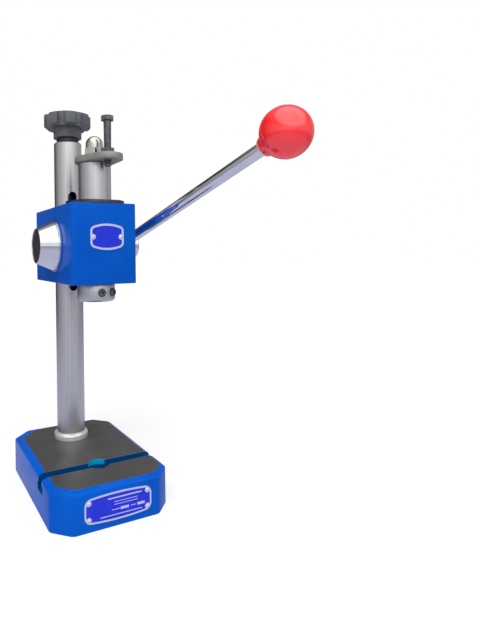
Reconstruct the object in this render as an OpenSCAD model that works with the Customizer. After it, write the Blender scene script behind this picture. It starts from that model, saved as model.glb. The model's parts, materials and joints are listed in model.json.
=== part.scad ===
// Bench hand punch press: a round column on a cast base carries a sliding head.
// A lever turns a pinion in the head, and the pinion drives a toothed ram down.
// Millimetres. Origin at the centre of the base's underside, +Z up.
// +Y runs from the ram back to the column, and -Y is the front.

/* [Base] */
// Width of the base, left to right
base_w = 120; // [112:1:132]
// Depth of the base, front to back
base_d = 180; // [172:1:192]
// Height of the base up to the ground table
base_h = 38; // [36:0.5:44]
// Length cut off each corner along both sides
base_corner = 17; // [12:1:20]
// Width of the sloped rim round the table
rim_w = 5; // [3:0.5:7]
// Fall of the sloped rim
rim_fall = 2.6; // [1.5:0.1:3.5]
// Width of the T-slot's mouth
slot_mouth_w = 11; // [9:0.5:12]
// Depth of the T-slot's mouth
slot_mouth_h = 7.5; // [6:0.5:9]
// Width of the T-slot's head
slot_head_w = 18; // [16:0.5:20]
// Height of the T-slot's head
slot_head_h = 8; // [7:0.5:9]
// Diameter of the round hole where bolts enter the T-slot
entry_d = 22; // [20:0.5:24]
// Depth of the pockets cast in the underside
pocket_h = 25; // [18:1:26]
// Thickness of the outer walls of the pockets
pocket_wall = 9; // [7:0.5:12]
// Thickness of the ribs between the pockets
rib_w = 12; // [10:1:16]

/* [Column] */
// Diameter of the column
column_d = 32; // [31:0.5:34]
// Height of the column's top above the bench
column_top = 380; // [372:1:392]
// Distance from the base's centre back to the column's axis
column_y = 46.5; // [44:0.5:48]
// Height of the seat in the base that the column stands on
seat_z = 18; // [17:0.5:20]
// Diameter of the bore down the column's middle
column_bore_d = 17; // [16.8:0.1:18]
// Depth of that bore from the column's top
column_bore_h = 184; // [178:1:190]
// Width of the guide slot down the column's front
guide_w = 9.7; // [9:0.1:10.5]
// Diameter of the bead ring at the column's foot
bead_d = 38.8; // [37.5:0.1:42]
// Height of the bead ring
bead_h = 7; // [5:0.5:9]

/* [Height screw] */
// Diameter of the lead screw
screw_d = 14; // [13.6:0.1:14.2]
// Greatest diameter of the star knob over its lobes
knob_d = 54; // [50:1:60]
// Diameter of the valleys between the lobes
knob_valley_d = 41; // [40:0.5:44]
// Number of lobes on the star knob
knob_lobes = 8; // [6:1:9]
// Height of the lobed part at its rim
knob_rim_h = 14.2; // [12:0.2:18]
// Rise of the knob's domed top above the rim
knob_dome_h = 4.6; // [3:0.2:6]
// Diameter of the knob's neck
neck_d = 32.6; // [30:0.2:36]
// Height of the knob's neck
neck_h = 11.7; // [10:0.1:14]
// Diameter of the thrust collar under the knob
thrust_d = 25.4; // [24:0.2:28]
// Height of the thrust collar
thrust_h = 5; // [4:0.5:6]
// Travel of the head up from where it stands
head_up = 25; // [20:1:25]
// Travel of the head down from where it stands
head_down = 65; // [50:1:65]

/* [Head] */
// Width of the head, left to right
head_w = 67; // [66:0.5:72]
// Depth of the head, front to back
head_d = 134; // [132:1:142]
// Height of the head
head_h = 79; // [78:0.5:84]
// Height of the head's underside above the bench
head_z = 220.6; // [219:0.2:224]
// Radius of the head's upright edges
head_edge_r = 3; // [1.5:0.5:5]
// Outside diameter of the bush that guides the ram
guide_bush_d = 40; // [39:0.5:42]
// Diameter of the guide bush's flange on top of the head
flange_d = 59; // [56:0.5:62]
// Thickness of that flange
flange_t = 3.3; // [3:0.1:4.5]
// Outside diameter of the right-hand pinion bush
right_bush_d = 28; // [26:0.5:30]
// Diameter of the two column lock screws
lock_d = 8; // [7:0.5:10]

/* [Ram] */
// Clear distance from the ram to the column, the throat
throat = 55; // [54:0.5:56]
// Diameter of the ram
ram_d = 33; // [32:0.5:34]
// Diameter of the ram's nose
nose_d = 38; // [37:0.5:39.5]
// Height of the ram's nose
nose_h = 17.3; // [16:0.1:20]
// Diameter of the hole that takes a tool's shank
shank_d = 10; // [8:0.5:12]
// Depth of the shank hole
shank_h = 30; // [26:1:36]
// Greatest stroke of the ram
stroke = 32; // [28:0.5:32]
// Diameter of the shank clamp screws
clamp_d = 8; // [6:0.5:9]

/* [Stop] */
// Height of the ram's flat top above the bench
ram_top = 341.5; // [340:0.5:350]
// Thickness of the stop plate
plate_t = 6; // [5:0.5:8]
// Radius of the plate's end round the ram stud
plate_back_r = 20; // [18:0.5:22]
// Radius of the plate's end round the stop bolt
plate_front_r = 15; // [12:0.5:16]
// Distance of the stop bolt in front of the ram's axis
stop_ahead = 23; // [22:0.5:24]
// Distance of the stop bolt to the right of the ram's axis
stop_aside = 5; // [0:0.5:6]
// Thread diameter of the stop bolt
stop_d = 7.6; // [6:0.2:8]
// Height of the stop bolt's head underside above the plate
stop_out = 32.8; // [26:0.2:40]
// Width across flats of the stop bolt's head
stop_af = 12; // [11:0.5:14]
// Height of the stop bolt's head
stop_head_h = 4.2; // [4:0.1:8]
// Width across flats of the stop bolt's locknut
locknut_af = 13; // [12:0.5:14]
// Height of the stop bolt's locknut
locknut_h = 5.4; // [4:0.2:7]
// Thread diameter of the stud in the ram's top
stud_d = 12; // [10:0.5:12.5]
// Width across flats of the domed nut
acorn_af = 19; // [18:0.5:20]
// Height of the domed nut's hexagon
acorn_hex_h = 9.2; // [8:0.2:11]
// Diameter of the domed nut's dome
acorn_dome_d = 17.8; // [16:0.1:18]

/* [Pinion and lever] */
// Tooth size of the rack and pinion, as a gear module
gear_module = 2; // [1.9:0.05:2]
// Number of teeth on the pinion
pinion_teeth = 16; // [16:1:17]
// Width of the pinion's teeth
pinion_w = 28; // [24:0.5:30]
// Height of the pinion's axis above the bench
pinion_z = 259; // [256:0.5:262]
// Diameter of the pinion shaft in its bushes
journal_d = 18; // [16:0.5:19]
// Diameter of the shaft's right end, which carries the hub
hub_seat_d = 16; // [14:0.5:16]
// Diameter of the lever's hub
hub_d = 28; // [27:0.5:32]
// Length of the lever's hub
hub_l = 22.6; // [20:0.2:26]
// Diameter of the lever rod
rod_d = 11; // [9:0.5:12]
// Distance from the pinion's axis to the ball's centre
lever_l = 232.8; // [220:0.1:240]
// Rise of the lever above level as it stands
lever_rise = 20.5; // [10:0.5:30]
// Lean of the lever outwards, away from the head
lever_lean = 10.3; // [8:0.1:12]
// Diameter of the ball
ball_d = 40; // [36:0.5:44]
// Diameter of the ball's neck collar
collar_d = 17; // [15:0.5:20]

/* [Spring cover] */
// Diameter of the cover's rim against the head
cover_rim_d = 53.8; // [50:0.2:58]
// Thickness of the cover's rim
cover_rim_t = 3.5; // [3:0.1:5]
// Diameter of the cover's outer end
cover_end_d = 36.2; // [34:0.2:40]
// Distance that the cover stands out from the head
cover_out = 20.3; // [19:0.1:24]
// Wall thickness of the cover
cover_wall = 2.4; // [1.8:0.1:3]
// Thickness of the cap in the cover's end
cap_t = 3; // [2:0.2:4]
// Thickness of the spring strip
strip_t = 0.8; // [0.6:0.05:0.9]
// Width of the spring strip
strip_w = 9; // [7:0.5:10]
// Number of turns of the spring strip
strip_turns = 3; // [2:1:3]

/* [Plates] */
// Width of the name plate on the base
nameplate_w = 67; // [60:1:72]
// Height of the name plate on the base, at its middle
nameplate_h = 25.6; // [22:0.2:27]
// Radius of the name plate's corners
nameplate_corner_r = 7; // [4:0.5:9]
// Radius that the name plate's long edges bulge with
nameplate_bulge_r = 280; // [200:10:500]
// Width of the badge on the head
badge_w = 34.6; // [32:0.2:42]
// Height of the badge at its middle
badge_h = 25.6; // [24:0.1:30]
// Radius of the badge's corners
badge_corner_r = 5; // [1.5:0.5:6]
// Radius that the badge's long edges bulge with
badge_bulge_r = 42; // [36:1:80]
// Thickness of both plates
plate_sheet_t = 0.8; // [0.5:0.1:1.2]
// Diameter of the rivet heads
rivet_d = 3; // [2.4:0.1:3.6]

/* [Hidden] */
$fn = 64;

// Clearances and small sizes that several pieces share
eps = 0.01;
run_gap = 0.05;
slide_gap = 0.3;
past = 5;
lead_in = 0.6;
socket_share = 0.55;

// Base
column_r = column_d / 2;
ram_r = ram_d / 2;
ram_y = column_y - column_r - throat - ram_r;
slot_floor_z = base_h - slot_mouth_h - slot_head_h;
bolt_d = 12;
bolt_head_h = 7;
bolt_head_af = 18;
washer_t = 2.5;
washer_d = 26;
bolt_recess_h = bolt_head_h + washer_t + lead_in;
bolt_grip = 22;
bolt_hole_gap = 0.5;
slot_land = 6;
socket_wall = 10;

// Column and its guide slot. The lift nut's tongue fills the slot but for the travel.
tongue_h = 23;
tongue_end_gap = 0.25;
tongue_w = guide_w - 2 * slide_gap - 0.1;
tongue_below_top = 14.6;
tongue_z = head_z + head_h - tongue_below_top;
guide_top = tongue_z + tongue_h / 2 + head_up + tongue_end_gap;
guide_bottom = tongue_z - tongue_h / 2 - head_down - tongue_end_gap;
column_chamfer = 1.2;
top_bush_d = 22;
top_bush_h = 14;

// Height screw
screw_r = screw_d / 2;
thrust_z = column_top + slide_gap;
neck_z = thrust_z + thrust_h;
lobe_z = neck_z + neck_h;
knob_rim_z = lobe_z + knob_rim_h;
knob_top_z = knob_rim_z + knob_dome_h;
flute_r = 5;
valley_turn = 12.5;
lobe_edge = 2;
screw_foot_gap = 4;
screw_foot_z = column_top - column_bore_h + screw_foot_gap;
screw_in_lobes = 6;
screw_head_z = lobe_z + screw_in_lobes;
collar_h = 8;
collar_gap = 0.3;
knob_pin_d = 4;

// Head and ram guide
head_top_z = head_z + head_h;
flange_top_z = head_top_z + flange_t;
ram_bore_r = ram_r + run_gap;
column_gap = 0.04;
flange_screw_d = 4;
flange_screw_head_d = 7.6;
flange_screw_l = 10;
flange_screw_at = (guide_bush_d / 2 + flange_d / 2) / 2;
flange_screw_turns = [0, 90, 180];
nut_r = column_bore_d / 2 - slide_gap;
nut_h = 26;
tongue_reach = 8;
keyway_gap = 0.05;
lift_pin_d = 6;
lift_pin_y = column_y - column_r - tongue_reach / 2;
lift_pin_x = 14;
key_screw_d = 6;
key_dog_d = 4.4;
key_above_foot = 14;
key_z = head_z + key_above_foot;
key_depth = 2.6;
keyway_w = 5;
lock_inset = 18;
lock_z = [head_z + lock_inset, head_top_z - lock_inset];
lock_pad_t = 3;
lock_pad_gap = 0.3;
touch_gap = 0.1;
lock_out = 2.5;
lock_travel = 3;

// Rack and pinion, standard 20 degree teeth
tooth_pitch = PI * gear_module;
pinion_r = gear_module * pinion_teeth / 2;
pressure = 20;
backlash = 0.15;
base_circle_r = pinion_r * cos(pressure);
tip_r = pinion_r + 0.95 * gear_module;
root_r = pinion_r - 1.25 * gear_module;
tip_cut = 1.2;
rack_line = ram_r - tip_cut - gear_module;
pinion_y = ram_y + rack_line + pinion_r;
mesh_swing = 7;
spaces_below = ceil(mesh_swing / tooth_pitch);
spaces_above = ceil((stroke + mesh_swing) / tooth_pitch);
tooth_radii = [root_r, base_circle_r, 0.6 * base_circle_r + 0.4 * pinion_r,
    pinion_r, (pinion_r + tip_r) / 2, tip_r];
pinion_gap = 1.2;
pinion_bore_r = tip_r + pinion_gap;
bush_inner_x = max(pinion_w / 2 + 4, sqrt(pow(guide_bush_d / 2, 2) - pow(max(0,
    pinion_y - pinion_bore_r - ram_y), 2)) + 0.5);
shaft_collar_step = 6;
shaft_collar_r = tip_r - shaft_collar_step;
cover_spigot = 3;
journal_r = journal_d / 2;
arbor_d = 13;
ring_t = 1.5;
ring_d = 20;

// Lever
hub_gap = 0.8;
hub_x = head_w / 2 + hub_gap;
lever_x = hub_x + rod_d / 2 + 0.6;
rod_seat = hub_seat_d / 2 + 2;
ball_hole = 12;
insert_t = 1.6;
collar_h_ball = 5;
hub_pin_d = 5;
hub_pin_x = hub_x + hub_l - 5.5;
hub_cap_t = 2;

// Stop
plate_top = ram_top + plate_t;
stop_x = stop_aside;
stop_y = ram_y - stop_ahead;
stop_tip_z = flange_top_z + stroke + slide_gap;
stud_in_ram = 14;
acorn_turn = 9;
acorn_neck_h = 3.8;
stop_turn = 6;
acorn_z = plate_top + acorn_hex_h;

// Nose and clamp screws
nose_top_z = head_z - slide_gap;
nose_z = nose_top_z - nose_h;
nose_chamfer = 2;
clamp_z = nose_z + 0.52 * nose_h;
clamp_travel = 3;
clamp_front_turn = -93;
clamp_side_turn = -53;
clamp_dog_d = 3.8;
clamp_neck_r = (clamp_d / 2 + slide_gap) / sin(abs(clamp_side_turn - clamp_front_turn) / 2);

// Plates: they sit where the maker fixed them, a little right of the middle
nameplate_x = 0.8;
nameplate_above_middle = 1.1;
nameplate_z = (base_h - rim_fall) / 2 + nameplate_above_middle;
nameplate_edge = 4;
nameplate_rivet_inset = 5.2;
nameplate_rivet_z = nameplate_h / 2 - nameplate_rivet_inset;
badge_x = 2;
badge_above_foot = 46;
badge_z = head_z + badge_above_foot;
badge_edge = 2.8;
rivet_h = 0.7;
rivet_shank = 3;

// Colours
enamel = [0.02, 0.30, 0.72];
ground = [0.62, 0.63, 0.64];
chrome = [0.82, 0.83, 0.86];
dark = [0.16, 0.16, 0.17];
bronze = [0.72, 0.55, 0.28];
plastic = [0.30, 0.30, 0.32];
red = [0.93, 0.14, 0.17];
sheet = [0.75, 0.75, 0.82];

// A circle's outline as points, for the arcs of lathe profiles
function arc(r, from, to, steps) =
    [for (i = [0:steps]) let (a = from + (to - from) * i / steps) [r * cos(a), r * sin(a)]];

// Places the children with +Z along the row's X axis, at the pinion's axis
module on_pinion_axis() {
    translate([0, pinion_y, pinion_z]) rotate([0, 90, 0]) children();
}

// Places the children with +Z along the lever, from the pinion's axis outwards
module on_lever() {
    translate([lever_x, pinion_y, pinion_z])
        rotate([90 - lever_rise, 0, 0]) rotate([0, lever_lean, 0]) children();
}

module at_column() {
    translate([0, column_y, 0]) children();
}

module at_ram() {
    translate([0, ram_y, 0]) children();
}

// A round bar from z = from to z = to
module bar(d, from, to) {
    translate([0, 0, from]) cylinder(d = d, h = to - from);
}

// A bar whose two ends are chamfered by c
module eased_bar(d, from, to, c) {
    rotate_extrude() polygon([[0, from], [d / 2 - c, from], [d / 2, from + c],
        [d / 2, to - c], [d / 2 - c, to], [0, to]]);
}

module hexagon(af, h) {
    cylinder(d = af / cos(30), h = h, $fn = 6);
}

// A hexagon head or nut with the usual turned corners on top
module eased_hexagon(af, h) {
    corner_r = af / cos(30) / 2;
    intersection() {
        hexagon(af, h);
        rotate_extrude() polygon([[0, 0], [corner_r + past, 0],
            [corner_r + past, h - (corner_r + past - af / 2) * tan(30)], [af / 2, h], [0, h]]);
    }
}

module rounded_block(w, d, h, r) {
    linear_extrude(h) {
        square([w - 2 * r, d], center = true);
        square([w, d - 2 * r], center = true);
        for (x = [-1, 1], y = [-1, 1]) translate([x * (w / 2 - r), y * (d / 2 - r)]) circle(r);
    }
}

// The base's plan: a rectangle with its four corners cut off
module base_plan() {
    x = base_w / 2;
    y = base_d / 2;
    c = base_corner;
    polygon([[x - c, -y], [x, -y + c], [x, y - c], [x - c, y],
        [-x + c, y], [-x, y - c], [-x, -y + c], [-x + c, -y]]);
}

// Cuts the sloped rim off one side that stands dist from the centre
module rim_cut(dist, turn) {
    rotate([0, 0, turn]) rotate([90, 0, 0]) linear_extrude(2 * base_d, center = true)
        polygon([[dist + rim_w, base_h - 2 * rim_fall], [dist + rim_w, base_h + rim_fall],
            [dist - 2 * rim_w, base_h + rim_fall]]);
}

module base_rims() {
    corner_dist = (base_w + base_d - 2 * base_corner) / 2 / sqrt(2);
    for (turn = [0, 180]) rim_cut(base_w / 2, turn);
    for (turn = [90, 270]) rim_cut(base_d / 2, turn);
    for (turn = [45:90:315]) rim_cut(corner_dist, turn);
}

// A pocket in the underside between two corners of its plan
module pocket(x0, y0, x1, y1, h) {
    translate([min(x0, x1), y0, -eps]) cube([abs(x1 - x0), y1 - y0, h]);
}

module base_pockets() {
    x1 = base_w / 2 - pocket_wall;
    slot_half = slot_head_w / 2 + slot_land;
    front_y = -base_d / 2 + pocket_wall;
    socket_x = column_r + socket_wall;
    for (side = [-1, 1]) {
        pocket(side * rib_w / 2, front_y + base_corner / 3, side * (x1 - base_corner / 2),
            ram_y - slot_half, pocket_h);
        pocket(side * rib_w / 2, ram_y + slot_half, side * x1, -rib_w / 2, pocket_h);
        pocket(side * rib_w / 2, rib_w / 2, side * x1, column_y - socket_x, pocket_h);
        pocket(side * socket_x, column_y - socket_x + rib_w, side * x1,
            base_d / 2 - pocket_wall - base_corner / 2, pocket_h);
    }
}

module base() {
    color(enamel) difference() {
        linear_extrude(base_h) base_plan();
        base_rims();
        translate([-base_w, ram_y - slot_mouth_w / 2, base_h - slot_mouth_h - eps])
            cube([2 * base_w, slot_mouth_w, slot_mouth_h + past]);
        translate([-base_w, ram_y - slot_head_w / 2, slot_floor_z])
            cube([2 * base_w, slot_head_w, slot_head_h]);
        at_ram() bar(entry_d, slot_floor_z, base_h + past);
        base_pockets();
        rivet_holes(nameplate_rivets, -base_d / 2);
        at_column() {
            bar(column_d, seat_z, base_h + past);
            bar(bolt_d + 2 * bolt_hole_gap, -past, seat_z + eps);
            bar(washer_d + 2, -past, bolt_recess_h);
        }
    }
}

// The guide slot's outline, seen from the front
module guide_outline(w, from, to) {
    translate([-w / 2, from + w / 2]) square([w, to - from - w]);
    for (z = [from + w / 2, to - w / 2]) translate([0, z]) circle(d = w);
}

module column() {
    color(ground) at_column() difference() {
        eased_bar(column_d, seat_z, column_top, column_chamfer);
        bar(column_bore_d, column_top - column_bore_h, column_top + past);
        bar(top_bush_d, column_top - top_bush_h, column_top + past);
        bar(bolt_d, seat_z - past, seat_z + bolt_grip);
        rotate([90, 0, 0]) linear_extrude(column_d) guide_outline(guide_w, guide_bottom, guide_top);
    }
}

// The bead ring at the column's foot, with a half-round outside
module column_foot_ring() {
    bead_r = (bead_d - column_d) / 2;
    color(ground) at_column() translate([0, 0, base_h]) rotate_extrude() difference() {
        union() {
            translate([column_r, 0]) square([bead_r, bead_h - bead_r]);
            translate([column_r, bead_h - bead_r]) circle(bead_r);
        }
        square([column_r, bead_h * 2]);
    }
}

module column_bolt() {
    color(dark) at_column() {
        translate([0, 0, lead_in]) hexagon(bolt_head_af, bolt_head_h);
        bar(bolt_d, lead_in + bolt_head_h - eps, seat_z + bolt_grip - 2);
    }
}

module column_bolt_washer() {
    color(ground) at_column() difference() {
        bar(washer_d, lead_in + bolt_head_h, bolt_recess_h);
        bar(bolt_d + bolt_hole_gap, 0, bolt_recess_h + past);
    }
}

module column_top_bush() {
    color(bronze) at_column() difference() {
        bar(top_bush_d, column_top - top_bush_h, column_top);
        bar(screw_d + 2 * run_gap, column_top - top_bush_h - past, column_top + past);
    }
}

// Rivets at the given places on a plate that faces the front
module rivets(places, face_y) {
    for (p = places) translate([p[0], face_y, p[1]]) rotate([90, 0, 0]) {
        cylinder(d = rivet_d * socket_share, h = plate_sheet_t + rivet_h / 2);
        translate([0, 0, -rivet_shank]) cylinder(d = rivet_d * socket_share, h = rivet_shank + eps);
        translate([0, 0, plate_sheet_t]) intersection() {
            cylinder(d = rivet_d, h = rivet_h);
            dome_r = (pow(rivet_d / 2, 2) + pow(rivet_h, 2)) / (2 * rivet_h);
            translate([0, 0, rivet_h - dome_r]) sphere(dome_r);
        }
    }
}

nameplate_rivets = [for (x = [-1, 1], z = [-1, 1])
    [nameplate_x + x * (nameplate_w / 2 - nameplate_edge),
     nameplate_z + z * nameplate_rivet_z]];
badge_rivets = [for (x = [-1, 1]) [badge_x + x * (badge_w / 2 - badge_edge), badge_z]];

module rivet_holes(places, face_y) {
    for (p = places) translate([p[0], face_y, p[1]]) rotate([90, 0, 0])
        translate([0, 0, -rivet_shank]) cylinder(d = rivet_d * socket_share, h = rivet_shank + past);
}

// A quarter of a plate's outline: a rounded corner that runs into a bulging long edge
function plate_quarter(w, h, corner_r, bulge_r) =
    let (corner_x = w / 2 - corner_r, tilt = asin(corner_x / (bulge_r - corner_r)),
        corner_y = h / 2 - bulge_r + (bulge_r - corner_r) * cos(tilt))
    concat([for (p = arc(corner_r, 0, 90 - tilt, 6)) [corner_x + p[0], corner_y + p[1]]],
        [for (p = arc(bulge_r, 90 - tilt, 90, 6)) if (p[0] < corner_x) [p[0], h / 2 - bulge_r + p[1]]]);

// The whole outline, turned and mirrored from the quarter
module plate_sheet_plan(w, h, corner_r, bulge_r) {
    q = plate_quarter(w, h, corner_r, bulge_r);
    last = len(q) - 1;
    polygon(concat(q, [for (i = [last - 1:-1:0]) [-q[i][0], q[i][1]]],
        [for (p = q) [-p[0], -p[1]]], [for (i = [last - 1:-1:0]) [q[i][0], -q[i][1]]]));
}

module base_nameplate() {
    color(sheet) difference() {
        translate([nameplate_x, -base_d / 2, nameplate_z]) rotate([90, 0, 0])
            linear_extrude(plate_sheet_t)
                plate_sheet_plan(nameplate_w, nameplate_h, nameplate_corner_r, nameplate_bulge_r);
        rivet_holes(nameplate_rivets, -base_d / 2);
    }
}

module base_nameplate_rivets() {
    color(ground) rivets(nameplate_rivets, -base_d / 2);
}

// The knob's outline: a disc with one flute between each pair of lobes
module knob_plan() {
    difference() {
        circle(d = knob_d);
        for (i = [0:knob_lobes - 1]) rotate(valley_turn + 360 * i / knob_lobes)
            translate([knob_valley_d / 2 + flute_r, 0]) circle(flute_r);
    }
}

module height_knob() {
    dome_r = (pow(knob_d / 2, 2) + pow(knob_dome_h, 2)) / (2 * knob_dome_h);
    color(plastic) at_column() difference() {
        union() {
            bar(neck_d, neck_z, lobe_z + eps);
            intersection() {
                translate([0, 0, lobe_z]) linear_extrude(knob_rim_h + knob_dome_h) knob_plan();
                translate([0, 0, knob_top_z - dome_r]) sphere(dome_r, $fn = 96);
                eased_bar(knob_d, lobe_z, lobe_z + 2 * knob_rim_h, lobe_edge);
            }
        }
        bar(screw_d, neck_z - past, screw_head_z);
        translate([0, 0, neck_z + neck_h / 2]) rotate([0, 90, 0])
            cylinder(d = knob_pin_d, h = neck_d, center = true);
    }
}

module knob_thrust_collar() {
    color(dark) at_column() difference() {
        eased_bar(thrust_d, thrust_z, neck_z, lead_in);
        bar(screw_d, thrust_z - past, neck_z + past);
    }
}

module lead_screw() {
    color(ground) at_column() difference() {
        eased_bar(screw_d, screw_foot_z, screw_head_z, lead_in);
        translate([0, 0, neck_z + neck_h / 2]) rotate([0, 90, 0])
            cylinder(d = knob_pin_d, h = neck_d, center = true);
        translate([0, 0, column_top - top_bush_h - collar_gap - collar_h / 2]) rotate([0, 90, 0])
            cylinder(d = knob_pin_d / 2, h = neck_d, center = true);
    }
}

module knob_pin() {
    color(dark) at_column() translate([0, 0, neck_z + neck_h / 2]) rotate([0, 90, 0])
        cylinder(d = knob_pin_d, h = neck_d - 2 * lead_in, center = true);
}

// The collar and its cross pin hold the screw up under the top bush
module screw_retaining_collar() {
    top = column_top - top_bush_h - collar_gap;
    collar_r = column_bore_d / 2 - slide_gap;
    color(dark) at_column() {
        difference() {
            bar(2 * collar_r, top - collar_h, top);
            bar(screw_d, top - collar_h - past, top + past);
        }
        translate([0, 0, top - collar_h / 2]) rotate([0, 90, 0])
            cylinder(d = knob_pin_d / 2, h = 2 * collar_r - 2 * lead_in, center = true);
    }
}

// The keyway that takes the lift nut's tongue, open to the head's top
module tongue_keyway(w) {
    translate([-w / 2, column_y - column_r - tongue_reach - slide_gap, tongue_z - tongue_h / 2
        - slide_gap]) cube([w, column_r + tongue_reach, head_h]);
}

module lift_pin_bar(gap) {
    translate([-lift_pin_x - gap, lift_pin_y, tongue_z]) rotate([0, 90, 0])
        cylinder(d = lift_pin_d, h = lift_pin_x + head_w / 2 + past * (gap > 0 ? 1 : 0) + gap
            - (gap > 0 ? 0 : lead_in));
}

module head() {
    color(enamel) difference() {
        translate([0, 0, head_z]) rounded_block(head_w, head_d, head_h, head_edge_r);
        at_column() bar(column_d + 2 * column_gap, head_z - past, head_top_z + past);
        at_ram() bar(guide_bush_d, head_z - past, head_top_z + past);
        on_pinion_axis() {
            bar(2 * pinion_bore_r, -head_w / 2 - past, bush_inner_x);
            bar(right_bush_d, bush_inner_x - eps, head_w / 2 + past);
        }
        tongue_keyway(tongue_w + 2 * keyway_gap);
        lift_pin_bar(eps);
        translate([0, ram_y, key_z]) rotate([0, 90, 0]) bar(key_screw_d, 0, head_w / 2 + past);
        for (z = lock_z) translate([0, column_y, z]) rotate([0, 90, 0])
            bar(lock_d + 2 * run_gap, 0, head_w / 2 + past);
        at_ram() for (a = flange_screw_turns) rotate(a) translate([flange_screw_at, 0, 0])
            bar(flange_screw_d, flange_top_z - flange_screw_l, flange_top_z);
        rivet_holes(badge_rivets, -head_d / 2);
    }
}

// The flange's plan: round, but trimmed level with the head's front face
module flange_plan() {
    intersection() {
        circle(d = flange_d);
        translate([0, -head_d / 2 - ram_y + flange_d]) square([2 * flange_d, 2 * flange_d],
            center = true);
    }
}

// The screws' countersunk shape, with its head level with the flange's top
module countersunk(l) {
    cone_h = (flange_screw_head_d - flange_screw_d) / 2;
    bar(flange_screw_d, flange_top_z - l, flange_top_z - cone_h + eps);
    translate([0, 0, flange_top_z - cone_h])
        cylinder(d1 = flange_screw_d, d2 = flange_screw_head_d, h = cone_h);
}

module ram_guide_bush() {
    color(dark) at_ram() difference() {
        union() {
            bar(guide_bush_d, head_z, head_top_z + eps);
            translate([0, 0, head_top_z]) linear_extrude(flange_t) flange_plan();
        }
        bar(2 * ram_bore_r, head_z - past, flange_top_z + past);
        translate([0, pinion_y - ram_y, pinion_z]) rotate([0, 90, 0])
            cylinder(r = tip_r + 2 * slide_gap, h = pinion_w + 2, center = true);
        translate([0, 0, key_z]) rotate([0, 90, 0]) bar(key_screw_d, 0, head_w);
        for (a = flange_screw_turns) rotate(a) translate([flange_screw_at, 0, 0])
            countersunk(flange_screw_l);
    }
}

module guide_flange_screws() {
    color(dark) at_ram() for (a = flange_screw_turns) rotate(a)
        translate([flange_screw_at, 0, 0]) difference() {
            countersunk(flange_screw_l);
            translate([0, 0, flange_top_z - flange_t / 2])
                hexagon(flange_screw_d * socket_share, flange_t);
        }
}

// The nut rides on the lead screw inside the column, and its tongue carries the head
module lift_nut() {
    color(bronze) difference() {
        union() {
            at_column() bar(2 * nut_r, tongue_z - nut_h / 2, tongue_z + nut_h / 2);
            translate([0, column_y, 0]) rotate([90, 0, 0]) linear_extrude(column_r + tongue_reach)
                guide_outline(tongue_w, tongue_z - tongue_h / 2, tongue_z + tongue_h / 2);
        }
        at_column() bar(screw_d + 2 * run_gap, tongue_z - nut_h, tongue_z + nut_h);
        translate([0, lift_pin_y, tongue_z]) rotate([0, 90, 0])
            cylinder(d = lift_pin_d, h = head_w, center = true);
    }
}

module lift_nut_pin() {
    color(ground) lift_pin_bar(0);
}

module head_badge() {
    color(sheet) difference() {
        translate([badge_x, -head_d / 2, badge_z]) rotate([90, 0, 0])
            linear_extrude(plate_sheet_t)
                plate_sheet_plan(badge_w, badge_h, badge_corner_r, badge_bulge_r);
        rivet_holes(badge_rivets, -head_d / 2);
    }
}

module head_badge_rivets() {
    color(ground) rivets(badge_rivets, -head_d / 2);
}

module pinion_bush_left() {
    color(bronze) on_pinion_axis() difference() {
        bar(2 * pinion_bore_r, -head_w / 2 + cover_spigot, -bush_inner_x);
        bar(journal_d + 2 * run_gap, -head_w, 0);
    }
}

module pinion_bush_right() {
    color(bronze) on_pinion_axis() difference() {
        bar(right_bush_d, bush_inner_x, head_w / 2);
        bar(journal_d + 2 * run_gap, 0, head_w);
    }
}

// Everything under the cover is drawn along +Z, which then points out of the left side
module on_cover() {
    translate([-head_w / 2, pinion_y, pinion_z]) rotate([0, -90, 0]) children();
}

cap_seat = cover_out - cap_t - 0.4;
cap_r = cover_end_d / 2 - 1.6;

module spring_cover() {
    rim_r = cover_rim_d / 2;
    end_r = cover_end_d / 2;
    throat_r = cap_r - 1.5;
    color(chrome) on_cover() difference() {
        rotate_extrude() polygon([[0, -cover_spigot], [pinion_bore_r, -cover_spigot],
            [pinion_bore_r, 0], [rim_r - 0.5, 0], [rim_r, 0.5], [rim_r, cover_rim_t - 0.5],
            [rim_r - 0.5, cover_rim_t], [rim_r - 1.5, cover_rim_t],
            [end_r, cover_out - 0.5], [end_r - 0.5, cover_out], [0, cover_out]]);
        rotate_extrude() polygon([[0, -past], [pinion_bore_r - cover_wall, -past],
            [pinion_bore_r - cover_wall, cover_rim_t], [throat_r, cap_seat - 1], [throat_r, cap_seat],
            [cap_r, cap_seat], [cap_r, cover_out + past], [0, cover_out + past]]);
    }
}

module spring_cover_cap() {
    color(dark) on_cover() difference() {
        eased_bar(2 * cap_r, cap_seat, cap_seat + cap_t, 0.3);
        translate([0, 0, cap_seat + cap_t]) cylinder(d1 = 0.2, d2 = 4, h = 2, center = true);
    }
}

// A clock spring: one strip wound outwards from the arbor
module return_spring() {
    inner_r = arbor_d / 2 + slide_gap;
    outer_r = pinion_bore_r - cover_wall - strip_t - 2.2;
    steps = 20 * strip_turns;
    spiral = [for (i = [0:steps]) let (a = 360 * strip_turns * i / steps,
        r = inner_r + (outer_r - inner_r) * i / steps) [r, a]];
    inside = [for (p = spiral) [p[0] * cos(p[1]), p[0] * sin(p[1])]];
    outside = [for (i = [steps:-1:0]) let (p = spiral[i])
        [(p[0] + strip_t) * cos(p[1]), (p[0] + strip_t) * sin(p[1])]];
    color(ground) on_cover() translate([0, 0, cover_rim_t]) linear_extrude(strip_w)
        polygon(concat(inside, outside));
}

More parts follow.
